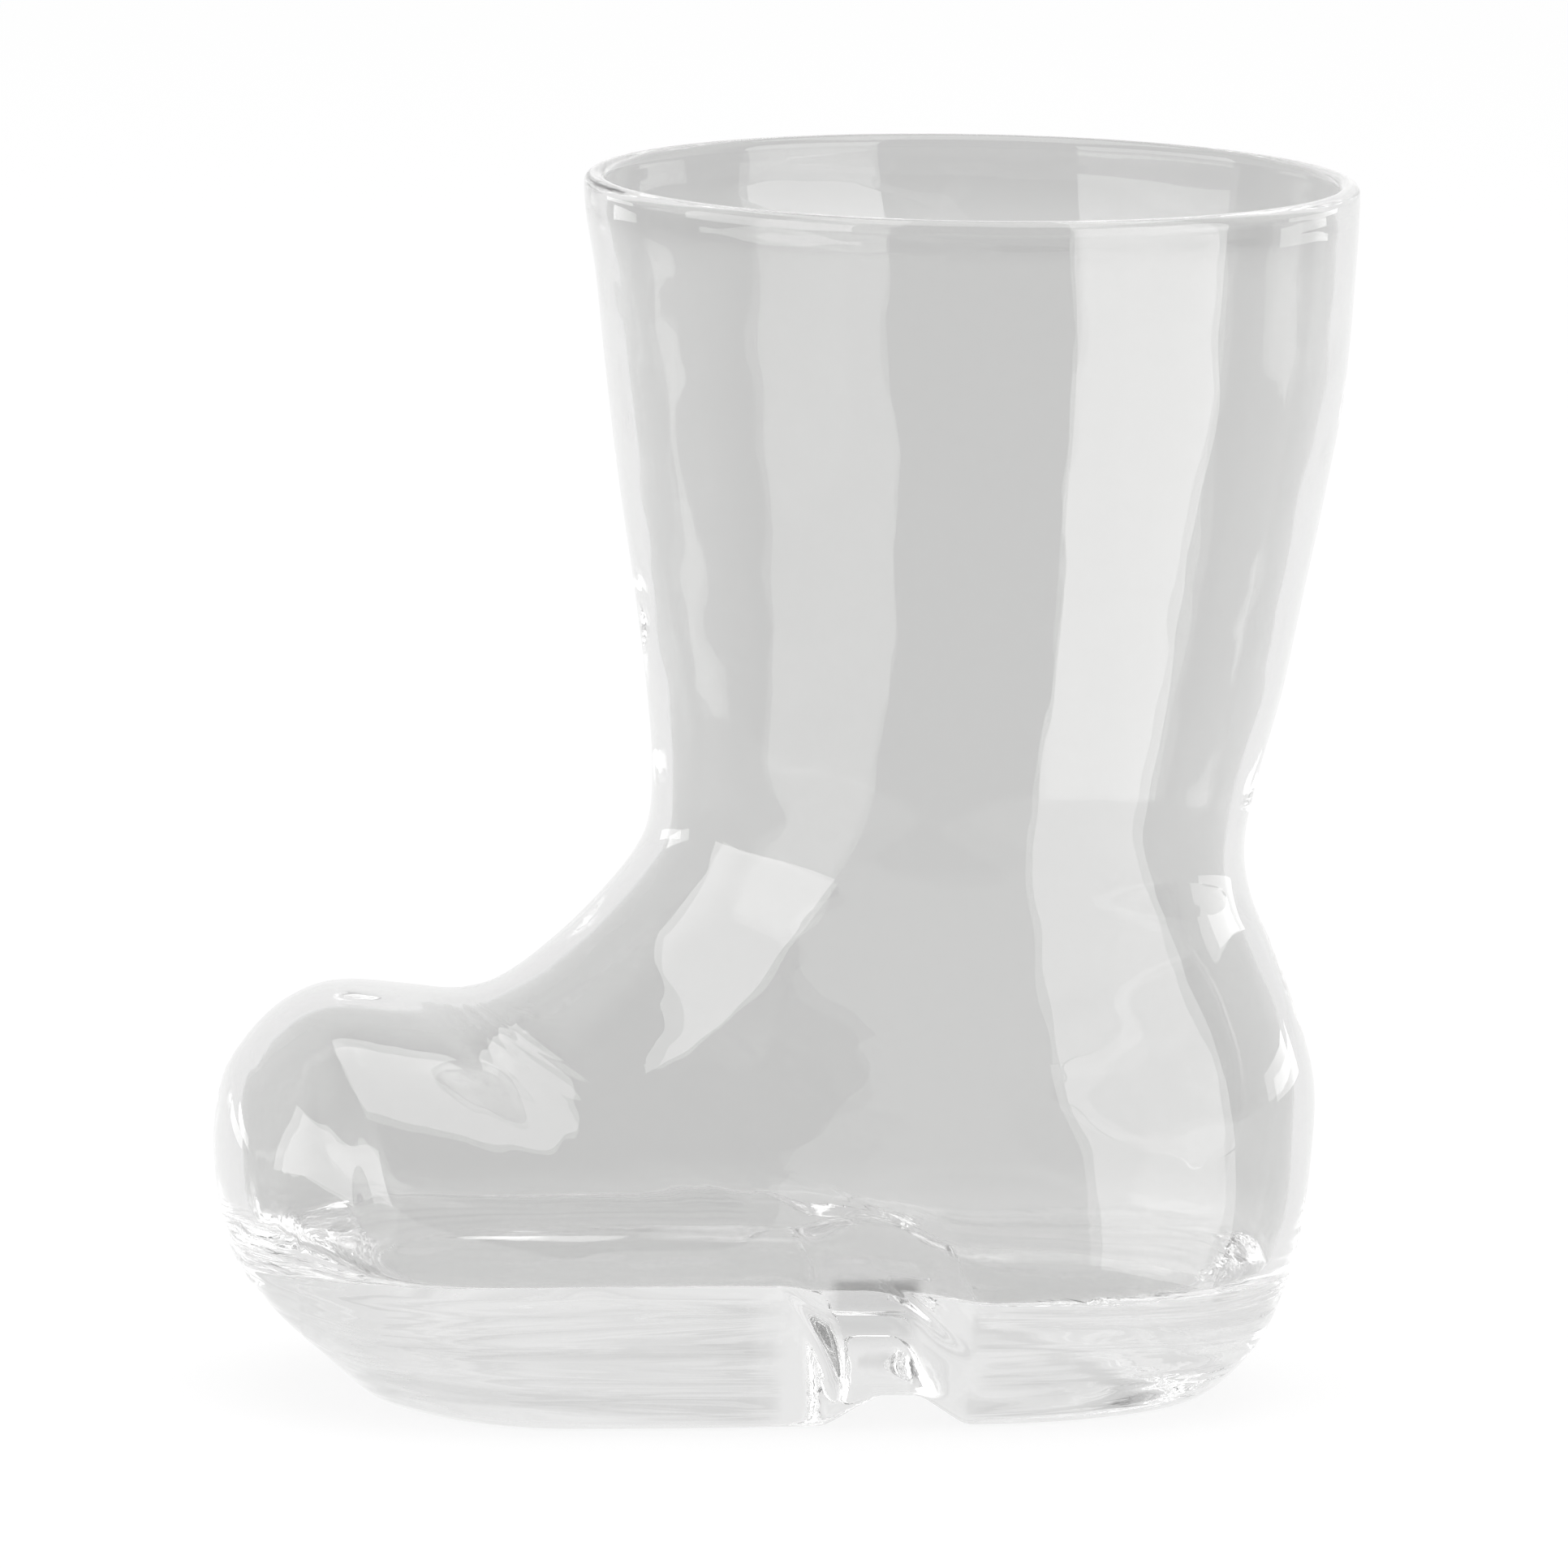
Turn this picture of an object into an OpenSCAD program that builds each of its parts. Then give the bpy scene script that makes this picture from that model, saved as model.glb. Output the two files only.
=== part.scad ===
// Boot-shaped drinking glass: one clear shell with a rounded lip, a straight tapered shaft,
// a drawn-in ankle, a round heel, a bulbous toe cap and a thick solid sole.
// The boot stands on two ground flats, the sole and the heel. Between them an arch groove runs
// across the underside, and a notch on each side sets the sole block off from the heel block.
// X runs from toe to heel, Y across the foot, Z up. The origin is under the middle of the boot.

/* [Overall] */
// Height from the ground to the top of the lip
height = 140; // [126:1:154]
// Length from the toe tip to the back of the rim
boot_length = 129; // [118:1:140]
// Wall thickness of the shaft and the upper
wall = 2.4; // [1.8:0.1:3.4]
// Height of the rounded lip above the straight wall
lip_h = 1.2; // [0.6:0.1:1.6]

/* [Widths] */
// Outside diameter of the rim
rim_d = 88; // [80:1:94]
// Outside width at the ankle
ankle_w = 58.8; // [54:0.2:66]
// Outside width across the heel
heel_w = 60.6; // [56:0.2:66]
// Outside width across the ball of the foot
foot_w = 63; // [54:1:70]

/* [Sole] */
// Glass thickness under the ball of the foot
sole_t = 17.4; // [10:0.1:20]
// Glass thickness over the heel
heel_t = 14.9; // [9:0.1:18]
// Height of the arch groove at the sides of the foot
arch_h = 4.3; // [2:0.1:6]
// Height of the groove in the middle of the foot
arch_mid_h = 1.5; // [0.5:0.1:4]
// Length of the flat roof of the groove
arch_roof = 5.2; // [3:0.1:9]
// Length of the groove at the ground
arch_mouth = 16.2; // [11:0.1:20]
// Place of the groove, back from the middle of the boot
arch_x = 12.2; // [8:0.1:16]
// Width of the foot between the two notches
waist_w = 51; // [48:0.5:58]
// Height of the top of the notches
waist_top = 18.4; // [12:0.1:19]

/* [Hidden] */

// Mesh fineness: points round a ring, how many steps of a half ring lie above the ground corner,
// and steps round the lip
ring_points = 52;
side_steps = 20;
lip_steps = 4;

// Nominal size that the stations below are written for
nominal_length = 129;
nominal_height = 140;
kx = boot_length / nominal_length;
kz = height / nominal_height;

// Height where the straight wall ends and the rounded lip begins, before scaling
lip_base = nominal_height - lip_h / kz;
// Half widths of the four places that are given above
rim_r = rim_d / 2;
ankle_r = ankle_w / 2;
heel_r = heel_w / 2;
foot_r = foot_w / 2;
// Back of the rim and its front, before scaling
rim_back = nominal_length / 2;
rim_front = rim_back - rim_d / kx;
// Height of the foremost point of the toe
tip_z = 27.8;
// Reach of the rounded corner where the floor inside meets the sides, and the rounder one where
// it meets the toe cap
side_corner = 5;
toe_corner = 10;

// Stations from the rim to the toe tip. Each is a slice across the boot:
// front x, front z, back x, back z, half width, fullness of the front half and of the back half.
// The front points run down the shin and over the toe cap, the back points down the calf,
// round the heel and along the keel under the sole. A fullness of 2 is an ellipse.
STATIONS = [
    [rim_front, lip_base, rim_back, lip_base, rim_r, 2, 2],
    [-22, 128, 64.1, 128, mix(rim_r, ankle_r, 0.06), 2, 2],
    [-20.6, 116, 63.2, 116, mix(rim_r, ankle_r, 0.18), 2, 2],
    [-19, 104, 61.2, 104, mix(rim_r, ankle_r, 0.34), 2, 2],
    [-17.2, 92.5, 59, 92.5, mix(rim_r, ankle_r, 0.53), 2, 2],
    [-15.7, 81.5, 56.9, 81.5, mix(rim_r, ankle_r, 0.71), 2, 2],
    [-14.9, 72.5, 54.4, 72, mix(rim_r, ankle_r, 0.84), 2, 2],
    [-15.2, 66, 53, 64, mix(rim_r, ankle_r, 0.92), 2, 2],
    [-16.9, 61.8, 53.8, 58, mix(rim_r, ankle_r, 0.95), 2.1, 2.15],
    [-20.2, 57.6, 56.4, 52, mix(rim_r, ankle_r, 0.98), 2.1, 2.1],
    [-24, 53.6, 59.2, 44.8, ankle_r, 2.1, 2.2],
    [-27.6, 50.4, 61.5, 36.5, mix(ankle_r, heel_r, 0.28), 2.1, 2.27],
    [-30.5, 48.2, 61.2, 27.5, mix(ankle_r, heel_r, 0.61), 2.1, 2.53],
    [-33, 46.8, 59.7, 18, mix(ankle_r, heel_r, 0.83), 2.1, 2.85],
    [-34.8, 46.2, 57, 10, mix(ankle_r, heel_r, 0.94), 2.1, 2.98],
    [-36, 46, 53.9, 4.2, heel_r, 2.1, 2.5],
    [-36.7, 45.9, 49.6, 0, heel_r, 2.1, 2.22],
    [-37.3, 45.9, 43.5, -3.4, heel_r, 2.1, 2.22],
    [-37.9, 45.9, 35.5, -5.7, heel_r, 2.1, 2.28],
    [-38.7, 45.9, 25, -6.5, mix(heel_r, foot_r, 0.04), 2.1, 2.3],
    [-39.8, 46, 12, -6.5, mix(heel_r, foot_r, 0.17), 2.1, 2.35],
    [-41.4, 46.1, -2, -6.5, mix(heel_r, foot_r, 0.42), 2.2, 2.5],
    [-43.6, 46.3, -15, -6.5, foot_r, 2.2, 2.5],
    [-46.4, 46.6, -26, -6.2, foot_r, 2.2, 2.5],
    [-49.2, 46.7, -34.8, -4.4, 0.98 * foot_r, 2.2, 2.4],
    [-52, 46.4, -41, -2.3, 0.93 * foot_r, 2.2, 2.3],
    [-54.7, 45.5, -46.2, 0, 0.885 * foot_r, 2.1, 2.2],
    [-57.7, 43.6, -51.6, 4.4, 0.785 * foot_r, 2.1, 2.1],
    [-60.9, 40.3, -57.7, 9.8, 0.625 * foot_r, 2, 2],
    [-63.5, 35.7, -62.7, 17, 0.385 * foot_r, 2, 2],
    [-64.5, tip_z, -64.5, tip_z, 0, 2, 2],
];

// Rings in each stretch between two stations: fewer on the straight shaft, more at heel and toe
RINGS_PER_STRETCH = [
    for (i = [0:len(STATIONS) - 2])
        i < 6 ? 1 :
        i < 17 ? 2 :
        i < 24 ? 1 :
        3
];

// Names of the columns of a station
FRONT_X = 0;
FRONT_Z = 1;
BACK_X = 2;
BACK_Z = 3;
HALF_W = 4;
FRONT_FULL = 5;
BACK_FULL = 6;

last_row = len(STATIONS) - 1;
// Places of all rings along the stations, from the rim to just short of the toe tip
PLACES = [
    for (i = [0:last_row - 1], k = [0:RINGS_PER_STRETCH[i] - 1])
        i + k / RINGS_PER_STRETCH[i]
];
place_count = len(PLACES);

function mix(a, b, t) = a + (b - a) * t;
function unit(v) = v / norm(v);
function side(v) = v < 0 ? -1 : 1;

// A station with its front and back changed over, as the far side of the toe tip
function turned(row) = [
    row[BACK_X], row[BACK_Z], row[FRONT_X], row[FRONT_Z], -row[HALF_W], row[FRONT_FULL], row[BACK_FULL]
];

// A made-up station above the rim that makes the wall stand upright there
function above_rim(rim, below) = [
    below[FRONT_X], 2 * rim[FRONT_Z] - below[FRONT_Z], below[BACK_X], 2 * rim[BACK_Z] - below[BACK_Z],
    below[HALF_W], rim[FRONT_FULL], rim[BACK_FULL]
];

// Row i of the stations, with one made-up row beyond each end
function row_at(i) =
    i < 0 ? above_rim(STATIONS[0], STATIONS[1]) :
    i > last_row ? turned(STATIONS[last_row - 1]) :
    STATIONS[i];

// Smooth curve through four rows, at t between the second and the third, and its slope
function spline(a, b, c, d, t) =
    0.5 * (2 * b + (c - a) * t + (2 * a - 5 * b + 4 * c - d) * t * t + (3 * b - a - 3 * c + d) * t * t * t);
function spline_slope(a, b, c, d, t) =
    0.5 * ((c - a) + 2 * (2 * a - 5 * b + 4 * c - d) * t + 3 * (3 * b - a - 3 * c + d) * t * t);

function whole(s) = min(floor(s), last_row - 1);
function station(s) =
    let (i = whole(s)) spline(row_at(i - 1), row_at(i), row_at(i + 1), row_at(i + 2), s - i);
function station_slope(s) =
    let (i = whole(s)) spline_slope(row_at(i - 1), row_at(i), row_at(i + 1), row_at(i + 2), s - i);

// The same station drawn in by a depth, square to the outer surface
function drawn_in(s, depth) =
    let (
        p = station(s),
        g = station_slope(s),
        front_n = unit([-g[FRONT_Z], g[FRONT_X]]),
        back_n = unit([g[BACK_Z], -g[BACK_X]]),
        spine = norm([g[FRONT_X] + g[BACK_X], g[FRONT_Z] + g[BACK_Z]]) / 2,
        lean = spine / norm([spine, g[HALF_W]])
    )
    [
        p[FRONT_X] + depth * front_n[0],
        p[FRONT_Z] + depth * front_n[1],
        p[BACK_X] + depth * back_n[0],
        p[BACK_Z] + depth * back_n[1],
        max(p[HALF_W] - depth * lean, 0),
        p[FRONT_FULL],
        p[BACK_FULL],
    ];

// Share of a slice, from its back to its front, that lies below a level.
// It is negative for a slice that stays above the level, and for one well above it.
function share_below(p, level) =
    p[BACK_Z] > level + toe_corner ? -1 : (level - p[BACK_Z]) / (p[FRONT_Z] - p[BACK_Z]);

// Angle round the ring at which the side meets the ground. Above the ground it closes on the back
// point as the slice nears the ground, so that the edge of the flat is one smooth line of points.
open_angle = 138;
closed_angle = 178.5;
closing_height = 10;
function corner_angle(p) =
    let (below = share_below(p, 0))
    below > 0
        ? min(closed_angle, 180 - acos(pow(1 - 2 * below, p[BACK_FULL] / 2)))
        : mix(closed_angle, open_angle, sqrt(min(1, p[BACK_Z] / closing_height)));

// Point of a slice: across is the way along the slice from back, 0, to front, 1
function slice_point(p, across, y) = [
    kx * mix(p[BACK_X], p[FRONT_X], across),
    y,
    kz * mix(p[BACK_Z], p[FRONT_Z], across)
];
function swell(c, full) = side(c) * pow(abs(c), 2 / full);
function fullness(p, a) = cos(a) > 0 ? p[FRONT_FULL] : p[BACK_FULL];
function along(p, a) = (1 + swell(cos(a), fullness(p, a))) / 2;
function width_at(p, a) = p[HALF_W] * swell(sin(a), fullness(p, a));

// Ring of the outer surface, cut straight where it meets the ground
half_points = ring_points / 2;
function outer_ring(s) =
    let (
        p = station(s),
        edge = corner_angle(p),
        ground = share_below(p, 0)
    )
    [
        for (j = [0:ring_points - 1])
            let (
                k = j > half_points ? ring_points - j : j,
                hand = j > half_points ? -1 : 1,
                past = (k - side_steps) / (half_points - side_steps),
                a = past < 0 ? edge * k / side_steps : mix(edge, 180, past)
            )
            past > 0 && ground > 0
                ? slice_point(p, ground, hand * (1 - past) * width_at(p, edge))
                : slice_point(p, max(along(p, a), ground), hand * width_at(p, a))
    ];

// Height of the floor inside the foot, lower over the heel
floor_step = 12;
function smooth(t) = let (c = max(0, min(1, t))) c * c * (3 - 2 * c);
function floor_z(x) = mix(sole_t, heel_t, smooth((kx * x - arch_x) / floor_step)) / kz;

// A value held above a low limit, with a rounded corner of the given reach
function held(v, low, reach) =
    v < low - reach ? low :
    v > low + reach ? v :
    low + pow(v - low + reach, 2) / (4 * reach);

// Share of an inner slice that the floor fills, found in two steps because the floor slopes
function floor_share(p) =
    let (
        first = share_below(p, floor_z(p[BACK_X])),
        meets = mix(p[BACK_X], p[FRONT_X], max(0, first))
    )
    share_below(p, floor_z(meets));

// Ring of the inner surface, with the floor rounded into the sides and the toe cap.
// The toe cap takes over from the sides between two of the stations.
ball_row = 25;
toe_row = 28;
function inner_ring(s) =
    let (
        p = drawn_in(s, wall),
        corner = mix(side_corner, toe_corner, smooth((s - ball_row) / (toe_row - ball_row))),
        length = norm([p[FRONT_X] - p[BACK_X], p[FRONT_Z] - p[BACK_Z]]),
        reach = corner / max(length, 2 * corner),
        low = floor_share(p)
    )
    [
        for (j = [0:ring_points - 1])
            let (a = 360 * j / ring_points)
            slice_point(p, held(along(p, a), low, reach), width_at(p, a))
    ];

// The lip is a low half round that joins the outer wall to the inner one
function lip_ring(step) =
    let (
        a = 180 * step / lip_steps,
        outside = outer_ring(0),
        inside = inner_ring(0)
    )
    [
        for (j = [0:ring_points - 1])
            mix(outside[j], inside[j], (1 - cos(a)) / 2) + [0, 0, lip_h * sin(a)]
    ];

// All rings in order: toe tip to rim outside, over the lip, and rim to toe inside
RINGS = concat(
    [for (k = [1:place_count]) outer_ring(PLACES[place_count - k])],
    [for (k = [1:lip_steps - 1]) lip_ring(k)],
    [for (k = [0:place_count - 1]) inner_ring(PLACES[k])]
);
outer_tip = outer_ring(last_row)[0];
inner_tip = inner_ring(last_row)[0];
ring_count = len(RINGS);
outer_tip_index = ring_count * ring_points;
inner_tip_index = outer_tip_index + 1;

function index(k, j) = k * ring_points + j % ring_points;

// The whole glass, standing on one long flat
module blown_shell() {
    polyhedron(
        points = concat([for (r = RINGS) each r], [outer_tip, inner_tip]),
        faces = concat(
            [for (j = [0:ring_points - 1]) [outer_tip_index, index(0, j + 1), index(0, j)]],
            [
                for (k = [0:ring_count - 2], j = [0:ring_points - 1], half = [0, 1])
                    half == 0
                        ? [index(k, j), index(k + 1, j + 1), index(k + 1, j)]
                        : [index(k, j), index(k, j + 1), index(k + 1, j + 1)]
            ],
            [
                for (j = [0:ring_points - 1])
                    [inner_tip_index, index(ring_count - 1, j), index(ring_count - 1, j + 1)]
            ]
        )
    );
}

// Solid through a row of closed sections with as many points each, from low y to high y.
// Each section runs up its left side and down its right side.
module lofted(sections) {
    n = len(sections[0]);
    last = len(sections) - 1;
    polyhedron(
        points = [for (section = sections) each section],
        faces = concat(
            [[for (j = [0:n - 1]) j]],
            [
                for (k = [0:last - 1], j = [0:n - 1], half = [0, 1])
                    let (a = k * n + j, b = k * n + (j + 1) % n)
                    half == 0 ? [a, a + n, b + n] : [a, b + n, b]
            ],
            [[for (j = [0:n - 1]) last * n + n - 1 - j]]
        )
    );
}

// Arch groove across the foot: a flat roof between two sloping flanks, highest at the sides
groove_reach = [-rim_d, -24, -20, -16, -12, -8, -4, 4, 8, 12, 16, 20, 24, rim_d];
function groove_height(y) = mix(arch_mid_h, arch_h, smooth((abs(y) - 4) / 20));
function groove_section(y) =
    let (flank = (arch_mouth - arch_roof) / 2, h = groove_height(y))
    [
        [arch_x - arch_mouth / 2 - flank, y, -h],
        [arch_x - arch_roof / 2, y, h],
        [arch_x + arch_roof / 2, y, h],
        [arch_x + arch_mouth / 2 + flank, y, -h]
    ];
module arch_groove() {
    lofted([for (y = groove_reach) groove_section(y)]);
}

// Notch in the side, upright in the middle. Its edge on the sole block curves forward as it rises,
// and its edge on the heel block leans forward from halfway up.
notch_steps = 9;
notch_depths = [0, 0.15, 0.3, 0.5, 0.7, 0.85, 1];
notch_foot = -2;
function notch_rise(z) = max(0, (z - 4) / 12);
function sole_edge(z, t) =
    arch_x - arch_mouth / 2 - 4.7 * pow(notch_rise(z), 2) + (1 - t) * (2.3 + 1.9 * pow(notch_rise(z), 2));
function heel_edge(z, t) =
    arch_x + arch_mouth / 2 - 1.12 * held(z - 9.8, 0, 1.5) - (1 - t) * mix(5.6, 1.5, smooth((z - 8) / 8));
function notch_level(k, t) = mix(notch_foot, waist_top - 4.8 * (1 - t), k / notch_steps);
function notch_section(t, y) = concat(
    [for (k = [0:notch_steps]) let (z = notch_level(k, t)) [sole_edge(z, t), y, z]],
    [for (k = [notch_steps:-1:0]) let (z = notch_level(k, t)) [heel_edge(z, t), y, z]]
);
module waist_notch() {
    inner = waist_w / 2;
    outer = foot_r - 0.5;
    lofted(concat(
        [for (t = notch_depths) notch_section(t, mix(inner, outer, smooth(t)))],
        [notch_section(1, outer + 5)]
    ));
}

module glass_boot() {
    color("gainsboro", 0.5)
        difference() {
            blown_shell();
            arch_groove();
            waist_notch();
            mirror([0, 1, 0])
                waist_notch();
        }
}

glass_boot();
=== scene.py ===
"""A boot-shaped drinking glass in clear blown glass, on a pale table in soft studio light.

The glass is one closed wall: the outside from the toe tip to the rim, over the rounded lip, and
the inside back down to the toe, with a thick solid sole. It takes the place of the CAD solid
``glass_boot`` and is built from the same slices, with finer rings and softened edges.
"""

import logging
import math
from dataclasses import dataclass, field
from enum import Enum

import bmesh
import bpy
from mathutils import Matrix, Vector


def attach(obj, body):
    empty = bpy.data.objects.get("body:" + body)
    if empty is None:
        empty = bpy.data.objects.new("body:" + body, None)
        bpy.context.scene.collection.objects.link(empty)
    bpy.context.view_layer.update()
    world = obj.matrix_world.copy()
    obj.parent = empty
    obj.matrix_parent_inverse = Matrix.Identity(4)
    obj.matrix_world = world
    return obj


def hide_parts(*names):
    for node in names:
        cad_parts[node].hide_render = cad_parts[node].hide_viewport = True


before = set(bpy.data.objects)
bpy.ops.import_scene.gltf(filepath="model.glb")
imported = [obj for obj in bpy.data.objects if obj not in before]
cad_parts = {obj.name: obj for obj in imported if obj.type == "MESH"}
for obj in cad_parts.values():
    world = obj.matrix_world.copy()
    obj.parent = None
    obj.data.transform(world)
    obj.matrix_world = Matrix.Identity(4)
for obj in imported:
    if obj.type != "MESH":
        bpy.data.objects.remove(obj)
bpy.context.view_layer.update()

log = logging.getLogger("glass_boot")

MM = 0.001
LIGHT_BOUNCES = 200

Socket = bpy.types.NodeSocket
Tree = bpy.types.NodeTree
Colour = tuple[float, float, float]
Span = tuple[float, float]


def mix(low: float, high: float, share: float) -> float:
    """Return the value that lies the given share of the way from low to high."""
    return low + (high - low) * share


def smooth(share: float) -> float:
    """Return an eased share between 0 and 1."""
    held = max(0.0, min(1.0, share))
    return held * held * (3.0 - 2.0 * held)


def held_above(value: float, low: float, reach: float) -> float:
    """Hold a value above a low limit, with a rounded corner.

    Args:
        value: The value to hold.
        low: The limit.
        reach: How far on each side of the limit the rounding goes.

    Returns:
        The value, or the limit, or the curve between them.
    """
    if value <= low - reach:
        return low
    if value >= low + reach:
        return value
    return low + (value - low + reach) ** 2 / (4.0 * reach)


def ease(tree: Tree, value: Socket, span: Span) -> Socket:
    """Add a node that eases a value from 0 at the start of a span to 1 at its end.

    Args:
        tree: The node tree to add to.
        value: The socket to ease.
        span: The values that give 0 and 1, in either order.

    Returns:
        The eased socket.
    """
    node = tree.nodes.new("ShaderNodeMapRange")
    node.interpolation_type = "SMOOTHSTEP"
    node.inputs["From Min"].default_value, node.inputs["From Max"].default_value = span
    tree.links.new(value, node.inputs["Value"])
    return node.outputs["Result"]


def joined(tree: Tree, kind: str, first: Socket, *others: Socket | float) -> Socket:
    """Add math nodes that join values by one operation, from left to right.

    Args:
        tree: The node tree to add to.
        kind: The operation, such as MULTIPLY.
        first: The first value.
        others: The other values, sockets or numbers.

    Returns:
        The socket with the result.
    """
    result = first
    for other in others:
        node = tree.nodes.new("ShaderNodeMath")
        node.operation = kind
        tree.links.new(result, node.inputs[0])
        if isinstance(other, float):
            node.inputs[1].default_value = other
        else:
            tree.links.new(other, node.inputs[1])
        result = node.outputs[0]
    return result


def seen_rays(tree: Tree) -> Socket:
    """Add nodes that give 1 for camera, glossy and transmission rays, and return their socket."""
    path = tree.nodes.new("ShaderNodeLightPath").outputs
    return joined(
        tree, "MAXIMUM", path["Is Camera Ray"], path["Is Glossy Ray"], path["Is Transmission Ray"],
    )


class Wall(Enum):
    """The two surfaces of the blown wall."""

    OUTSIDE = "outside"
    INSIDE = "inside"


@dataclass(frozen=True)
class Slice:
    """One slice across the boot, in millimetres.

    The front point lies on the shin and toe cap, the back point on the calf, heel and keel.
    """

    front_x: float
    front_z: float
    back_x: float
    back_z: float
    half_width: float
    front_full: float = 2.0
    back_full: float = 2.0

    def values(self) -> tuple[float, ...]:
        """Return the seven values in their order."""
        return (
            self.front_x, self.front_z, self.back_x, self.back_z,
            self.half_width, self.front_full, self.back_full,
        )

    def turned(self) -> "Slice":
        """Return the slice with front and back changed over, for the far side of the toe tip."""
        return Slice(
            self.back_x, self.back_z, self.front_x, self.front_z,
            -self.half_width, self.front_full, self.back_full,
        )

    def mirrored_above(self, rim: "Slice") -> "Slice":
        """Return this slice mirrored above the rim, which makes the wall upright there."""
        return Slice(
            self.front_x, 2 * rim.front_z - self.front_z, self.back_x, 2 * rim.back_z - self.back_z,
            self.half_width, rim.front_full, rim.back_full,
        )

    def length(self) -> float:
        """Return the length of the slice from back to front."""
        return math.hypot(self.front_x - self.back_x, self.front_z - self.back_z)

    def fullness(self, angle: float) -> float:
        """Return how full the outline is at an angle: 2 is an ellipse."""
        return self.front_full if math.cos(angle) > 0 else self.back_full

    def along(self, angle: float) -> float:
        """Return the share of the way from back to front at an angle round the ring."""
        turn = math.cos(angle)
        return (1.0 + math.copysign(abs(turn) ** (2.0 / self.fullness(angle)), turn)) / 2.0

    def across(self, angle: float) -> float:
        """Return the distance from the middle plane at an angle round the ring."""
        turn = math.sin(angle)
        return self.half_width * math.copysign(abs(turn) ** (2.0 / self.fullness(angle)), turn)

    def angle_at(self, share: float) -> float:
        """Return the angle round the ring at a share of the way from back to front."""
        return math.pi - math.acos(min(1.0, max(0.0, 1.0 - 2.0 * share)) ** (self.back_full / 2.0))

    def share_below(self, level: float) -> float:
        """Return the share of the slice below a level, negative where it stays above."""
        return (level - self.back_z) / (self.front_z - self.back_z)

    def point(self, share: float, across: float) -> Vector:
        """Return the point at a share of the way from back to front and a distance across."""
        return Vector((
            mix(self.back_x, self.front_x, share), across, mix(self.back_z, self.front_z, share),
        ))


def spline(a: float, b: float, c: float, d: float, t: float) -> float:
    """Return a smooth curve through four values, at t between the second and the third."""
    return 0.5 * (
        2 * b + (c - a) * t + (2 * a - 5 * b + 4 * c - d) * t * t + (3 * b - a - 3 * c + d) * t ** 3
    )


def spline_slope(a: float, b: float, c: float, d: float, t: float) -> float:
    """Return the slope of the smooth curve at t."""
    return 0.5 * (
        (c - a) + 2 * (2 * a - 5 * b + 4 * c - d) * t + 3 * (3 * b - a - 3 * c + d) * t * t
    )


@dataclass(frozen=True)
class WaistNotch:
    """The upright notch in each side, between the sole block and the heel block, in millimetres.

    Both of its flanks lean towards the toe as they rise, and the notch fades out below its top. A
    flank's reach is how far along the foot the wall takes to draw in there.
    """

    half_width: float = 25.5
    top: float = 18.4
    fade: float = 5.4
    spread_start: float = 4.0
    spread_height: float = 12.0
    toe_flank: float = 4.1
    toe_lean: float = 4.7
    toe_reach: float = 2.3
    toe_reach_gain: float = 1.9
    heel_flank: float = 20.3
    heel_lean: float = 1.12
    heel_lean_start: float = 9.8
    heel_lean_round: float = 1.5
    heel_reach_foot: float = 5.6
    heel_reach_top: float = 1.5
    heel_reach_start: float = 8.0
    heel_reach_height: float = 8.0

    def drawn_in(self, point: Vector) -> float:
        """Return the distance across of an outer point, drawn in between sole and heel.

        Args:
            point: The point on the near side, before it is drawn in.

        Returns:
            The distance from the middle plane.
        """
        rise = max(0.0, (point.z - self.spread_start) / self.spread_height)
        start = self.toe_flank - self.toe_lean * rise * rise
        end = self.heel_flank - self.heel_lean * held_above(
            point.z - self.heel_lean_start, 0.0, self.heel_lean_round)
        heel_reach = mix(
            self.heel_reach_foot, self.heel_reach_top,
            smooth((point.z - self.heel_reach_start) / self.heel_reach_height))
        share = (
            smooth((point.x - start) / (self.toe_reach + self.toe_reach_gain * rise * rise))
            * smooth((end - point.x) / heel_reach)
            * smooth((self.top - point.z) / self.fade)
        )
        return mix(point.y, min(point.y, self.half_width), share)


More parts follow.
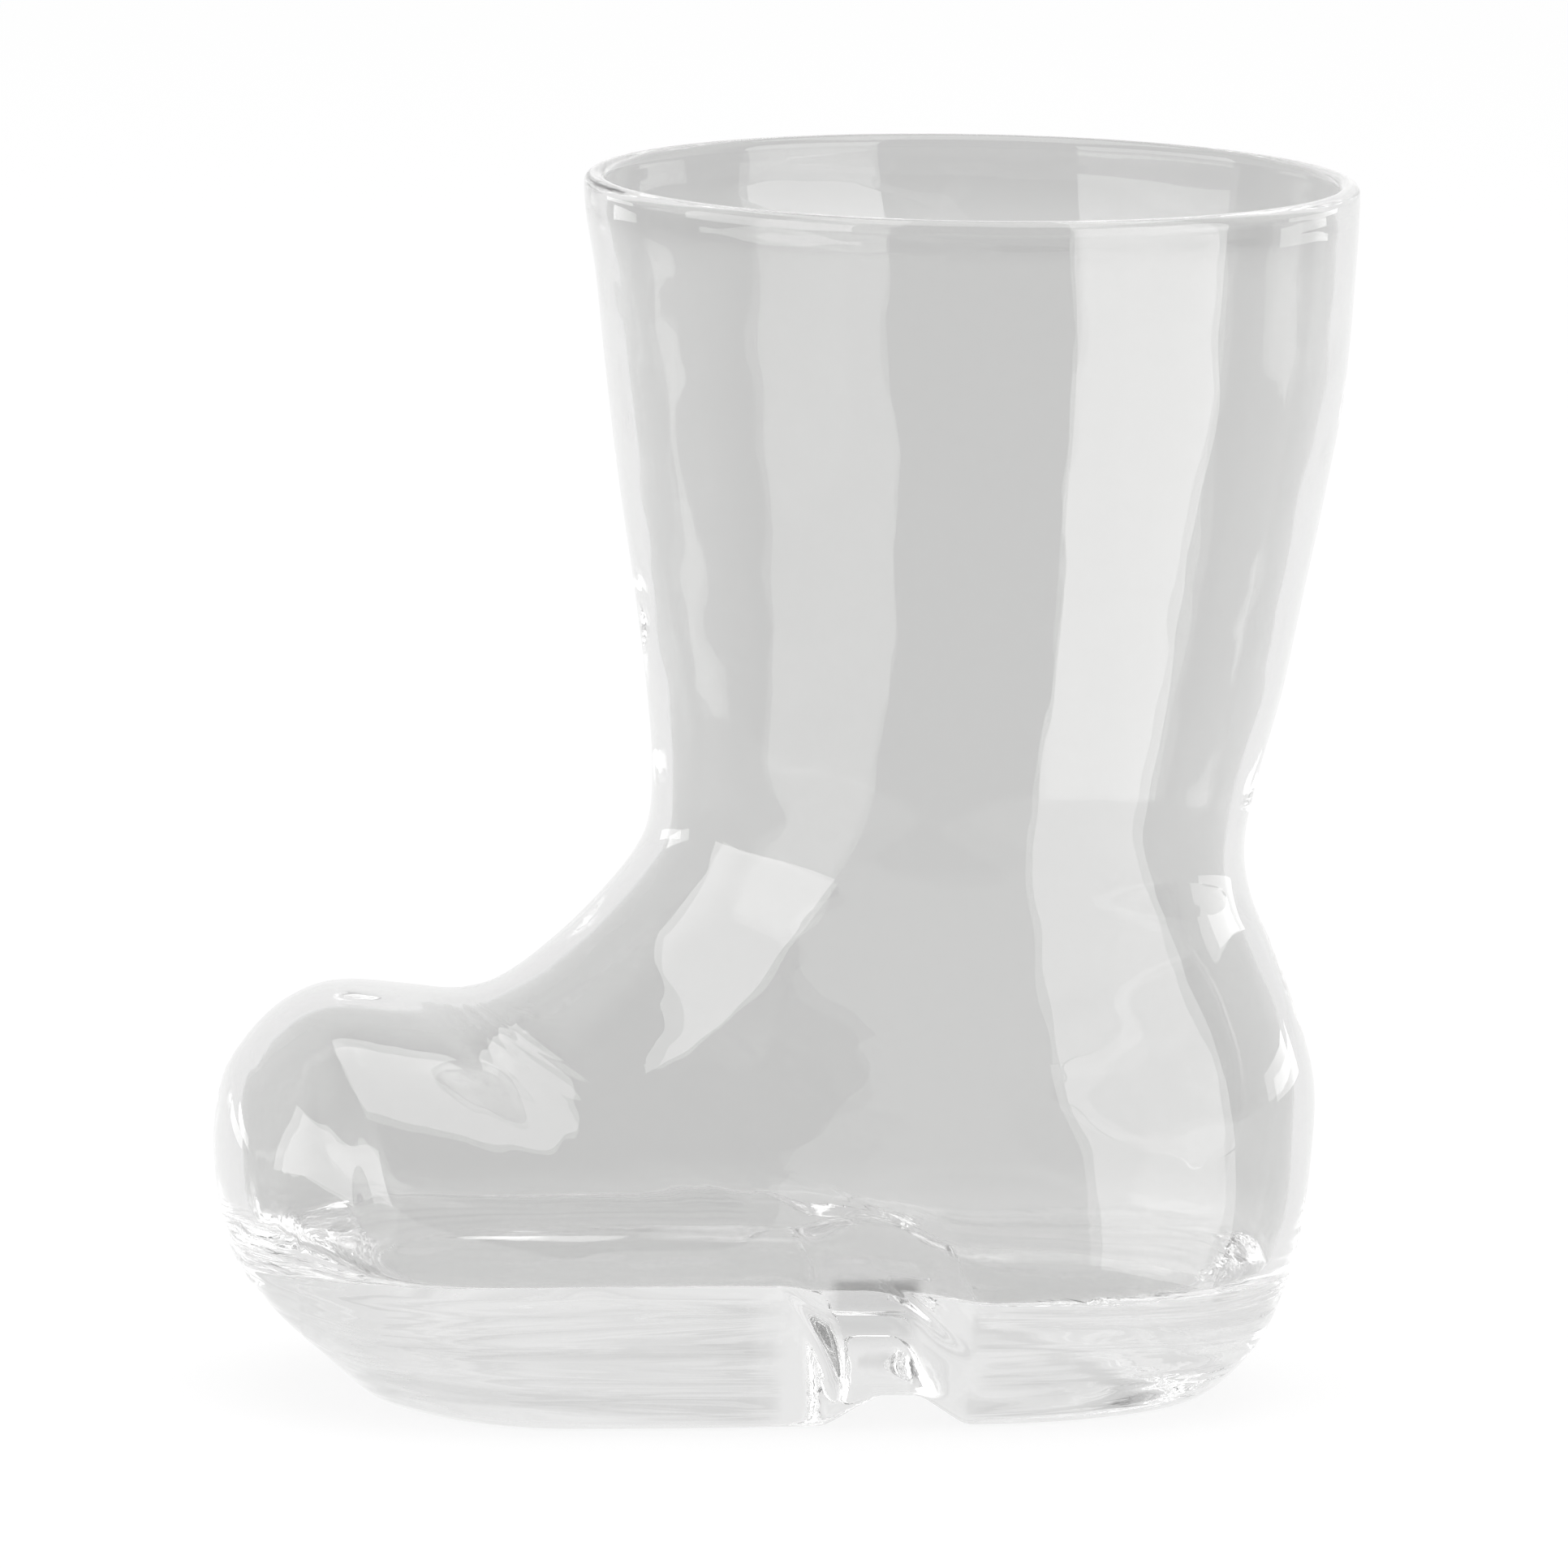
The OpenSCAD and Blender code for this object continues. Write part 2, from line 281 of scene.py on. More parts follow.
@dataclass
class BootForm:
    """The form of the boot in millimetres: its slices, wall, floor, arch groove and side notches.

    The toe tip stands a hair inside the half length, which the wall just below the tip reaches.
    """

    height: float = 140.0
    rim_radius: float = 44.0
    ankle: float = 29.4
    heel: float = 30.3
    foot: float = 31.5
    wall: float = 2.4
    lip_height: float = 1.2
    sole_floor: float = 17.4
    heel_floor: float = 14.9
    floor_step_start: float = 12.2
    floor_step: float = 12.0
    floor_corner: float = 5.0
    toe_corner: float = 10.0
    toe_corner_row: float = 25.0
    toe_corner_rows: float = 3.0
    arch_centre: float = 12.2
    arch_height: float = 4.3
    arch_roof: float = 5.2
    arch_mouth: float = 16.2
    arch_middle_height: float = 1.5
    arch_middle_half: float = 4.0
    arch_deepening: float = 20.0
    arch_softness: float = 0.7
    ground_softness: float = 0.7
    bead_depth: float = 0.12
    bead_foot: float = 135.0
    bead_rise: float = 3.0
    tip_x: float = 64.478
    tip_height: float = 27.8
    half_length: float = 64.5
    notch: WaistNotch = field(default_factory=WaistNotch)
    slices: list[Slice] = field(default_factory=list)

    def __post_init__(self) -> None:
        """Lay out the slices from the rim to the toe tip."""
        rim, ankle, heel, foot = self.rim_radius, self.ankle, self.heel, self.foot
        lip_base = self.height - self.lip_height
        rim_front = self.half_length - 2 * rim
        shaft = [
            Slice(rim_front, lip_base, self.half_length, lip_base, rim),
            Slice(-22.0, 128.0, 64.1, 128.0, mix(rim, ankle, 0.06)),
            Slice(-20.6, 116.0, 63.2, 116.0, mix(rim, ankle, 0.18)),
            Slice(-19.0, 104.0, 61.2, 104.0, mix(rim, ankle, 0.34)),
            Slice(-17.2, 92.5, 59.0, 92.5, mix(rim, ankle, 0.53)),
            Slice(-15.7, 81.5, 56.9, 81.5, mix(rim, ankle, 0.71)),
            Slice(-14.9, 72.5, 54.4, 72.0, mix(rim, ankle, 0.84)),
            Slice(-15.2, 66.0, 53.0, 64.0, mix(rim, ankle, 0.92)),
            Slice(-16.9, 61.8, 53.8, 58.0, mix(rim, ankle, 0.95), 2.1, 2.15),
            Slice(-20.2, 57.6, 56.4, 52.0, mix(rim, ankle, 0.98), 2.1, 2.1),
        ]
        round_heel = [
            Slice(-24.0, 53.6, 59.2, 44.8, ankle, 2.1, 2.2),
            Slice(-27.6, 50.4, 61.5, 36.5, mix(ankle, heel, 0.28), 2.1, 2.27),
            Slice(-30.5, 48.2, 61.2, 27.5, mix(ankle, heel, 0.61), 2.1, 2.53),
            Slice(-33.0, 46.8, 59.7, 18.0, mix(ankle, heel, 0.83), 2.1, 2.85),
            Slice(-34.8, 46.2, 57.0, 10.0, mix(ankle, heel, 0.94), 2.1, 2.98),
            Slice(-36.0, 46.0, 53.9, 4.2, heel, 2.1, 2.5),
            Slice(-36.7, 45.9, 49.6, 0.0, heel, 2.1, 2.22),
            Slice(-37.3, 45.9, 43.5, -3.4, heel, 2.1, 2.22),
            Slice(-37.9, 45.9, 35.5, -5.7, heel, 2.1, 2.28),
        ]
        sole = [
            Slice(-38.7, 45.9, 25.0, -6.5, mix(heel, foot, 0.04), 2.1, 2.3),
            Slice(-39.8, 46.0, 12.0, -6.5, mix(heel, foot, 0.17), 2.1, 2.35),
            Slice(-41.4, 46.1, -2.0, -6.5, mix(heel, foot, 0.42), 2.2, 2.5),
            Slice(-43.6, 46.3, -15.0, -6.5, foot, 2.2, 2.5),
            Slice(-46.4, 46.6, -26.0, -6.2, foot, 2.2, 2.5),
            Slice(-49.2, 46.7, -34.8, -4.4, 0.98 * foot, 2.2, 2.4),
            Slice(-52.0, 46.4, -41.0, -2.3, 0.93 * foot, 2.2, 2.3),
        ]
        toe = [
            Slice(-54.7, 45.5, -46.2, 0.0, 0.885 * foot, 2.1, 2.2),
            Slice(-57.7, 43.6, -51.6, 4.4, 0.785 * foot, 2.1, 2.1),
            Slice(-60.9, 40.3, -57.7, 9.8, 0.625 * foot),
            Slice(-63.5, 35.7, -62.7, 17.0, 0.385 * foot),
            Slice(-self.tip_x, self.tip_height, -self.tip_x, self.tip_height, 0.0),
        ]
        self.slices = shaft + round_heel + sole + toe

    @property
    def last(self) -> int:
        """Return the row of the toe tip."""
        return len(self.slices) - 1

    def _row(self, index: int) -> Slice:
        """Return a slice by its row, with one made-up row beyond each end."""
        if index < 0:
            return self.slices[1].mirrored_above(self.slices[0])
        if index > self.last:
            return self.slices[self.last - 1].turned()
        return self.slices[index]

    def _around(self, place: float) -> tuple[list[tuple[float, ...]], float]:
        """Return the four rows around a place and the share between the middle two."""
        index = min(int(math.floor(place)), self.last - 1)
        return [self._row(index + step).values() for step in (-1, 0, 1, 2)], place - index

    def outside(self, place: float) -> Slice:
        """Return the slice of the outer surface at a place along the rows."""
        rows, t = self._around(place)
        *profile, half_width, front_full, back_full = (spline(*column, t) for column in zip(*rows))
        return Slice(*profile, max(half_width, 0.0), front_full, back_full)

    def inside(self, place: float) -> Slice:
        """Return the slice of the inner surface, drawn in square to the outer one.

        Args:
            place: The place along the rows.

        Returns:
            The slice, narrower by the wall.
        """
        rows, t = self._around(place)
        p = self.outside(place)
        g = Slice(*(spline_slope(*column, t) for column in zip(*rows)))
        wall = self.wall + self.bead_depth * smooth((p.front_z - self.bead_foot) / self.bead_rise)
        front = Vector((-g.front_z, g.front_x)).normalized() * wall
        back = Vector((g.back_z, -g.back_x)).normalized() * wall
        spine = math.hypot(g.front_x + g.back_x, g.front_z + g.back_z) / 2.0
        lean = spine / math.hypot(spine, g.half_width)
        return Slice(
            p.front_x + front.x, p.front_z + front.y, p.back_x + back.x, p.back_z + back.y,
            max(p.half_width - wall * lean, 0.0), p.front_full, p.back_full,
        )

    def floor_height(self, x: float) -> float:
        """Return the height of the floor inside the foot, lower over the heel."""
        step = smooth((x - self.floor_step_start) / self.floor_step)
        return mix(self.sole_floor, self.heel_floor, step)

    def ground_height(self, x: float, y: float) -> float:
        """Return the height of the underside: the ground, or the arch groove above it."""
        deepening = smooth((y - self.arch_middle_half) / self.arch_deepening)
        height = mix(self.arch_middle_height, self.arch_height, deepening)
        flank = (self.arch_mouth - self.arch_roof) / 2.0
        reach = abs(x - self.arch_centre)
        rise = height * (self.arch_mouth / 2.0 - reach) / flank
        soft = self.arch_softness * height / self.arch_height
        roofed = -held_above(-rise, -height, soft)
        return held_above(roofed, 0.0, soft)

    def corner_reach(self, place: float) -> float:
        """Return the reach of the inner floor's corner, rounder towards the toe."""
        share = smooth((place - self.toe_corner_row) / self.toe_corner_rows)
        return mix(self.floor_corner, self.toe_corner, share)


@dataclass
class RingPlan:
    """How finely the rings are laid: points round a ring and rings along the rows.

    Each pair of ``outside_rings`` and ``inside_rings`` is an end row and the rings for each row up
    to it.
    """

    side_points: int = 46
    side_crowding: float = 1.4
    edge_points: int = 14
    keel_points: int = 16
    edge_top: float = 6.5
    edge_foot: float = -1.5
    widest_top: float = math.radians(168.0)
    widest_foot: float = math.radians(176.5)
    free_top: float = math.radians(100.0)
    free_foot: float = math.radians(138.0)
    least_gap: float = math.radians(4.0)
    closing_top: float = 12.0
    closing_foot: float = 20.0
    lip_steps: int = 12
    outside_rings: tuple[tuple[int, int], ...] = (
        (1, 16), (7, 5), (10, 6), (18, 10), (22, 18), (30, 12),
    )
    inside_rings: tuple[tuple[int, int], ...] = (
        (1, 16), (10, 5), (18, 6), (22, 9), (27, 7), (30, 10),
    )

    @property
    def half(self) -> int:
        """Return the number of steps round one half of a ring."""
        return self.side_points + self.edge_points + self.keel_points

    def places(self, wall: Wall) -> list[float]:
        """Return the places of the rings along the rows, from the rim to the toe tip."""
        table = self.outside_rings if wall is Wall.OUTSIDE else self.inside_rings
        found, start = [], 0
        for end, count in table:
            found += [row + step / count for row in range(start, end) for step in range(count)]
            start = end
        return found + [float(start)]

    def angles(self, cut: Slice) -> list[float]:
        """Return the angles of one half ring, closest together beside the ground edge.

        Args:
            cut: The slice of the ring.

        Returns:
            Angles from the front, 0, to the back, pi.
        """
        top = self._limit(cut, self.edge_top, self.widest_top, self.free_top, self.closing_top)
        foot = self._limit(cut, self.edge_foot, self.widest_foot, self.free_foot, self.closing_foot)
        foot = max(foot, top + self.least_gap)
        side = [
            top * (1.0 - (1.0 - k / self.side_points) ** self.side_crowding)
            for k in range(self.side_points)
        ]
        edge = [mix(top, foot, k / self.edge_points) for k in range(self.edge_points)]
        keel = [mix(foot, math.pi, k / self.keel_points) for k in range(self.keel_points + 1)]
        return side + edge + keel

    def _limit(self, cut: Slice, level: float, widest: float, free: float, closing: float) -> float:
        """Return the angle where a slice passes a level, or the free angle well above the level.

        Args:
            cut: The slice.
            level: The level to pass.
            widest: The greatest angle to return where the slice passes the level.
            free: The angle for a slice that stays well above the level.
            closing: How far above the level the angle has become the free one.

        Returns:
            The angle from the front.
        """
        below = cut.share_below(level) if cut.front_z - cut.back_z > 1.0 else -1.0
        if below > 0.0:
            return min(widest, cut.angle_at(below))
        return mix(widest, free, math.sqrt(min(1.0, max(0.0, cut.back_z - level) / closing)))


@dataclass(frozen=True)
class ClearGlass:
    """Clear soda glass, fire-polished, with the faint waviness of blown work and a streaked sole.

    Spans are in metres in the glass's own frame and run from where a zone has not begun to where it
    is whole. Tints are what each surface lets through; the darker far side, mouth band, toe, sole
    streaks and notch are painted shade.
    """

    name: str = "clear_glass"
    ior: float = 1.5
    near_tint: Colour = (0.80, 0.80, 0.797)
    # Painted shade: the far side of the wall is darker than the near side.
    far_tint_and_painted_shade: Colour = (0.72, 0.72, 0.716)
    # Painted shade: a darker band at the top of the far wall, seen through the mouth.
    mouth_tint_and_painted_shade: Colour = (0.57, 0.57, 0.566)
    sole_tint: Colour = (0.80, 0.80, 0.797)
    # Painted shade: the toe of the sole is darker.
    toe_tint_and_painted_shade: Colour = (0.64, 0.64, 0.637)
    # Painted shade in the sole's streaks; the cords themselves are in the relief.
    cord_tint_and_painted_shade: Colour = (0.60, 0.60, 0.597)
    # Painted shade in the upper part of the side notch, between sole and heel.
    notch_tint_and_painted_shade: Colour = (0.50, 0.50, 0.497)
    # Where the near side's tint turns to the far side's painted shade.
    near_to_far: Span = (-0.026, 0.026)
    # Where the painted shade at the top of the far wall fades in.
    mouth: Span = (0.1240, 0.1370)
    sole: Span = (0.0220, 0.0155)
    toe: Span = (-0.0400, -0.0540)
    notch_top: Span = (0.0188, 0.0180)
    notch_foot: Span = (0.0090, 0.0125)
    notch_toe_side: Span = (0.0035, 0.0055)
    notch_heel_side: Span = (0.0150, 0.0130)
    notch_skin: Span = (-0.0235, -0.0250)
    streak_top: Span = (0.0165, 0.0145)
    streak_foot: Span = (0.0003, 0.0014)
    streak_toe_side: Span = (0.0, -0.0035)
    streak_heel_side: Span = (0.0200, 0.0230)
    streak_shade: Span = (0.60, 0.32)
    above_ground: Span = (0.0, 0.0001)
    cord_scale: tuple[float, float, float] = (14.0, 30.0, 260.0)
    cord_detail: float = 2.5
    cord_distortion: float = 0.8
    cord_depth: float = 0.0003
    wave_scale: float = 28.0
    wave_detail: float = 1.0
    wave_depth: float = 0.00002
    ripple_scale: float = 85.0
    ripple_detail: float = 0.5
    ripple_depth: float = 0.00026

    def material(self) -> bpy.types.Material:
        """Build the glass material.

        Returns:
            The material, with its zones of tint and painted shade, waves and streaks on Object
            coordinates.
        """
        made = bpy.data.materials.new(self.name)
        made.use_nodes = True
        tree = made.node_tree
        shader = tree.nodes["Principled BSDF"]
        shader.inputs["IOR"].default_value = self.ior
        shader.inputs["Transmission Weight"].default_value = 1.0
        shader.inputs["Roughness"].default_value = 0.0
        place = tree.nodes.new("ShaderNodeTexCoord").outputs["Object"]
        parts = tree.nodes.new("ShaderNodeSeparateXYZ")
        tree.links.new(place, parts.inputs[0])
        x, y, z = parts.outputs
        sole = ease(tree, z, self.sole)
        cords = self._noise(tree, place, 1.0, self.cord_detail, self.cord_scale, self.cord_distortion)
        streaks = joined(
            tree, "MULTIPLY", ease(tree, z, self.streak_top), ease(tree, z, self.streak_foot),
            joined(tree, "MAXIMUM", ease(tree, x, self.streak_toe_side),
                   ease(tree, x, self.streak_heel_side)),
        )
        wall = self._wall_colour(tree, y, z)
        block = self._sole_colour(tree, x, cords, streaks)
        # Painted shade: the upper notch is darkened to its own tint.
        notch = joined(
            tree, "MULTIPLY", ease(tree, z, self.notch_top), ease(tree, z, self.notch_foot),
            ease(tree, x, self.notch_toe_side), ease(tree, x, self.notch_heel_side),
            ease(tree, y, self.notch_skin),
        )
        body = self._blend(tree, sole, wall, block)
        tree.links.new(self._blend(tree, notch, body, self.notch_tint_and_painted_shade), shader.inputs["Base Color"])
        upper = joined(tree, "SUBTRACT", ease(tree, z, self.above_ground), sole)
        relief = self._relief(tree, place, upper, joined(tree, "MULTIPLY", cords, streaks))
        tree.links.new(relief, shader.inputs["Normal"])
        return made

    def _wall_colour(self, tree: Tree, y: Socket, z: Socket) -> Socket:
        """Add the tint of the blown wall, with painted shade on the far side, deepest at the top of
        the far side of the mouth.

        Args:
            tree: The node tree to add to.
            y: The place across the glass.
            z: The height.

        Returns:
            The socket with the colour.
        """
        # Painted shade: the far side is darker, and darker still in a band at its top, seen through
        # the mouth.
        far = self._blend(tree, ease(tree, z, self.mouth), self.far_tint_and_painted_shade, self.mouth_tint_and_painted_shade)
        return self._blend(tree, ease(tree, y, self.near_to_far), self.near_tint, far)

    def _sole_colour(self, tree: Tree, x: Socket, cords: Socket, streaks: Socket) -> Socket:
        """Add the tint of the solid sole, with painted shade at the toe and in its streaks.

        Args:
            tree: The node tree to add to.
            x: The place along the foot.
            cords: The noise of the streaks.
            streaks: Where streaks are, 0 to 1.

        Returns:
            The socket with the colour.
        """
        # Painted shade: the sole darkens towards the toe.
        plain = self._blend(tree, ease(tree, x, self.toe), self.sole_tint, self.toe_tint_and_painted_shade)
        # Painted shade: the sole's streaks are darkened, besides their real relief.
        shade = joined(tree, "MULTIPLY", ease(tree, cords, self.streak_shade), streaks)
        return self._blend(tree, shade, plain, self.cord_tint_and_painted_shade)

    def _relief(self, tree: Tree, place: Socket, upper: Socket, cords: Socket) -> Socket:
        """Add the relief: long waves everywhere, ripples in the wall and cords in the sole.

        Args:
            tree: The node tree to add to.
            place: The coordinates.
            upper: Where the blown wall is, 0 to 1.
            cords: The height of the cords, 0 to 1.

        Returns:
            The socket with the normal.
        """
        long_waves = self._noise(tree, place, self.wave_scale, self.wave_detail)
        short_waves = self._noise(tree, place, self.ripple_scale, self.ripple_detail)
        total = joined(
            tree, "ADD", joined(tree, "MULTIPLY", long_waves, self.wave_depth),
            joined(tree, "MULTIPLY", short_waves, self.ripple_depth, upper),
            joined(tree, "MULTIPLY", cords, self.cord_depth),
        )
        bump = tree.nodes.new("ShaderNodeBump")
        bump.inputs["Distance"].default_value = 1.0
        tree.links.new(total, bump.inputs["Height"])
        return bump.outputs["Normal"]

    def _noise(
        self, tree: Tree, place: Socket, scale: float, detail: float,
        stretch: tuple[float, float, float] = (1.0, 1.0, 1.0), distortion: float = 0.0,
    ) -> Socket:
        """Add a noise.

        Args:
            tree: The node tree to add to.
            place: The coordinates.
            scale: The scale of the noise.
            detail: The detail of the noise.
            stretch: The scale of the coordinates along each axis.
            distortion: How much the noise is distorted.

        Returns:
            The socket with the noise.
        """
        mapping = tree.nodes.new("ShaderNodeMapping")
        mapping.inputs["Scale"].default_value = stretch
        tree.links.new(place, mapping.inputs["Vector"])
        noise = tree.nodes.new("ShaderNodeTexNoise")
        noise.inputs["Scale"].default_value = scale
        noise.inputs["Detail"].default_value = detail
        noise.inputs["Roughness"].default_value = 0.6
        noise.inputs["Distortion"].default_value = distortion
        tree.links.new(mapping.outputs[0], noise.inputs["Vector"])
        return noise.outputs["Fac"]

    def _blend(
        self, tree: Tree, share: Socket, first: Socket | Colour, second: Socket | Colour,
    ) -> Socket:
        """Add a mix of two colours.

        Args:
            tree: The node tree to add to.
            share: The share of the second colour.
            first: The first colour, or a socket with it.
            second: The second colour, or a socket with it.

        Returns:
            The socket with the mixed colour.
        """
        node = tree.nodes.new("ShaderNodeMix")
        node.data_type = "RGBA"
        tree.links.new(share, node.inputs["Factor"])
        for socket, colour in ((node.inputs[6], first), (node.inputs[7], second)):
            if isinstance(colour, tuple):
                socket.default_value = (*colour, 1.0)
            else:
                tree.links.new(colour, socket)
        return node.outputs[2]


@dataclass
class GlassBoot:
    """The whole glass: one closed wall of blown glass with a solid sole."""

    form: BootForm = field(default_factory=BootForm)
    plan: RingPlan = field(default_factory=RingPlan)
    finish: ClearGlass = field(default_factory=ClearGlass)

    def outer_half(self, place: float) -> list[Vector]:
        """Return half a ring of the outer surface, rounded where it meets the ground."""
        cut = self.form.outside(place)
        points = []
        for angle in self.plan.angles(cut):
            point = cut.point(cut.along(angle), cut.across(angle))
            point.y = self.form.notch.drawn_in(point)
            ground = self.form.ground_height(point.x, point.y)
            point.z = held_above(point.z, ground, self.form.ground_softness)
            points.append(point)
        return points

    def inner_half(self, place: float) -> list[Vector]:
        """Return half a ring of the inner surface, with the floor rounded into the sides."""
        form = self.form
        cut = form.inside(place)
        corner = form.corner_reach(place)
        reach = corner / max(cut.length(), 2.0 * corner)
        low = -1.0
        if cut.back_z < form.sole_floor + corner:
            first = cut.share_below(form.floor_height(cut.back_x))
            meets = mix(cut.back_x, cut.front_x, max(0.0, first))
            low = cut.share_below(form.floor_height(meets))
        outer = form.outside(place)
        return [
            cut.point(held_above(cut.along(angle), low, reach), cut.across(angle))
            for angle in self.plan.angles(outer)
        ]

    def lip_half(self, step: int) -> list[Vector]:
        """Return half a ring of the rounded lip at a step from outside to inside."""
        angle = math.pi * step / self.plan.lip_steps
        share = (1.0 - math.cos(angle)) / 2.0
        rise = Vector((0.0, 0.0, self.form.lip_height * math.sin(angle)))
        pairs = zip(self.outer_half(0.0), self.inner_half(0.0))
        return [outer.lerp(inner, share) + rise for outer, inner in pairs]

    def half_rings(self) -> list[list[Vector]]:
        """Return all half rings in order: toe to rim outside, the lip, and rim to toe inside."""
        outside = [self.outer_half(place) for place in reversed(self.plan.places(Wall.OUTSIDE))]
        lip = [self.lip_half(step) for step in range(1, self.plan.lip_steps)]
        inside = [self.inner_half(place) for place in self.plan.places(Wall.INSIDE)]
        return outside + lip + inside

    def build(self) -> bpy.types.Object:
        """Build the glass wall.

        Returns:
            The finished object, at the origin, with its place in its mesh.
        """
        rings = self.half_rings()
        half = self.plan.half
        rows, columns = len(rings) - 1, 2 * half
        mesh = bmesh.new()
        bmesh.ops.create_grid(mesh, x_segments=rows, y_segments=columns, size=0.5)
        for vert in mesh.verts:
            row = round((vert.co.x + 0.5) * rows)
            column = round((vert.co.y + 0.5) * columns)
            hand = 1.0 if column <= half else -1.0
            point = rings[row][column if column <= half else columns - column]
            vert.co = Vector((point.x, hand * point.y, point.z)) * MM
        bmesh.ops.remove_doubles(mesh, verts=mesh.verts, dist=1e-7)
        bmesh.ops.recalc_face_normals(mesh, faces=mesh.faces)
        for face in mesh.faces:
            face.smooth = True
        data = bpy.data.meshes.new("glass_wall")
        mesh.to_mesh(data)
        mesh.free()
        made = bpy.data.objects.new("glass_wall", data)
        bpy.context.scene.collection.objects.link(made)
        return made

    def dress(self, made: bpy.types.Object) -> None:
        """Give the glass its finish and its place in the frame."""
        made.data.materials.append(self.finish.material())
        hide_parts("glass_boot")
        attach(made, "root")


@dataclass(frozen=True)
class PaleTable:
    """A plain white table that keeps the soft shadow of the glass."""

    colour: tuple[float, float, float] = (0.9, 0.9, 0.9)
    lift: float = 0.88
    clear_lift: float = 0.95
    radius: float = 6.0
    segments: int = 96
    gap: float = 0.0002

    def material(self) -> bpy.types.Material:
        """Build the white material, lifted towards the background's white.

        Returns:
            The material: nearly white for the eye, whiter in the glass, and a plain pale board for
            all other light.
        """
        made = bpy.data.materials.new("table_white")
        made.use_nodes = True
        nodes, links = made.node_tree.nodes, made.node_tree.links
        nodes.clear()
        out = nodes.new("ShaderNodeOutputMaterial")
        board = nodes.new("ShaderNodeBsdfDiffuse")
        board.inputs["Color"].default_value = (*self.colour, 1.0)
        white = nodes.new("ShaderNodeEmission")
        white.inputs["Strength"].default_value = 1.0
        choice = nodes.new("ShaderNodeMixShader")
        through = joined(made.node_tree, "MULTIPLY", seen_rays(made.node_tree), self.clear_lift)
        eye = nodes.new("ShaderNodeMapRange")
        eye.inputs["To Min"].default_value = 1.0
        eye.inputs["To Max"].default_value = self.lift / self.clear_lift
        links.new(nodes.new("ShaderNodeLightPath").outputs["Is Camera Ray"], eye.inputs["Value"])
        lift = joined(made.node_tree, "MULTIPLY", through, eye.outputs["Result"])
        links.new(lift, choice.inputs[0])
        links.new(board.outputs[0], choice.inputs[1])
        links.new(white.outputs[0], choice.inputs[2])
        links.new(choice.outputs[0], out.inputs["Surface"])
        return made

    def build(self) -> bpy.types.Object:
        """Build the table top.

        Returns:
            The table.
        """
        mesh = bmesh.new()
        bmesh.ops.create_circle(mesh, cap_ends=True, segments=self.segments, radius=self.radius)
        bmesh.ops.translate(mesh, verts=mesh.verts, vec=(0.0, 0.0, -self.gap))
        data = bpy.data.meshes.new("table")
        mesh.to_mesh(data)
        mesh.free()
        made = bpy.data.objects.new("table", data)
        bpy.context.scene.collection.objects.link(made)
        made.data.materials.append(self.material())
        return made


class LampPlace(Enum):
    """The places of the lamps round the glass."""

    TOE_FRONT = "toe_front"
    HEEL_FRONT = "heel_front"
    TOE_BACK = "toe_back"
    HEEL_BACK = "heel_back"
    OVERHEAD = "overhead"


@dataclass(frozen=True)
class SoftLamp:
    """A large soft lamp that faces the glass, upright or straight above it."""

    place: LampPlace
    azimuth: float
    distance: float
    width: float
    foot: float
    top: float
    brightness: float

    def build(self, view_turn: float) -> bpy.types.Object:
        """Build the lamp.

        Args:
            view_turn: The azimuth of the camera in degrees, from straight in front of the glass.

        Returns:
            The lamp, turned to the middle of the glass.
        """
        flat = self.place is LampPlace.OVERHEAD
        data = bpy.data.lights.new(f"soft_lamp_{self.place.value}", "AREA")
        data.shape = "RECTANGLE"
        data.size, data.size_y = self.width, self.width if flat else self.top - self.foot
        data.energy = self.brightness * math.pi * data.size * data.size_y
        made = bpy.data.objects.new(data.name, data)
        angle = math.radians(view_turn + self.azimuth)
        made.location = (
            self.distance * math.sin(angle), -self.distance * math.cos(angle),
            self.top if flat else (self.foot + self.top) / 2.0,
        )
        made.rotation_euler = (0.0 if flat else math.radians(90.0), 0.0, angle)
        bpy.context.scene.collection.objects.link(made)
        return made


@dataclass(frozen=True)
class LightCard:
    """A lit card on the table before the heel, a fan that the camera does not see.

    The near wall of the heel reflects it, which carries the bright patch there down to the sole.
    """

    tip: tuple[float, float] = (0.034, -0.026)
    near: float = 0.045
    far: float = 1.19
    from_azimuth: float = 29.0
    to_azimuth: float = 80.0
    segments: int = 12
    height: float = 0.0001
    brightness: float = 2.8

    def build(self, view_turn: float) -> bpy.types.Object:
        """Build the card.

        Args:
            view_turn: The azimuth of the camera in degrees, from straight in front of the glass.

        Returns:
            The card.
        """
        mesh = bmesh.new()
        bmesh.ops.create_grid(mesh, x_segments=self.segments, y_segments=1, size=0.5)
        for vert in mesh.verts:
            azimuth = mix(self.from_azimuth, self.to_azimuth, vert.co.x + 0.5)
            angle = math.radians(view_turn + azimuth)
            reach = mix(self.near, self.far, vert.co.y + 0.5)
            vert.co = Vector((
                self.tip[0] + reach * math.sin(angle), self.tip[1] - reach * math.cos(angle),
                self.height,
            ))
        bmesh.ops.recalc_face_normals(mesh, faces=mesh.faces)
        data = bpy.data.meshes.new("light_card")
        mesh.to_mesh(data)
        mesh.free()
        made = bpy.data.objects.new("light_card", data)
        bpy.context.scene.collection.objects.link(made)
        made.visible_camera = False
        data.materials.append(self._glow())
        return made

    def _glow(self) -> bpy.types.Material:
        """Build and return the card's even glow."""
        glow = bpy.data.materials.new("card_glow")
        glow.use_nodes = True
        nodes = glow.node_tree.nodes
        nodes.clear()
        light = nodes.new("ShaderNodeEmission")
        light.inputs["Strength"].default_value = self.brightness
        out = nodes.new("ShaderNodeOutputMaterial")
        glow.node_tree.links.new(light.outputs[0], out.inputs["Surface"])
        return glow


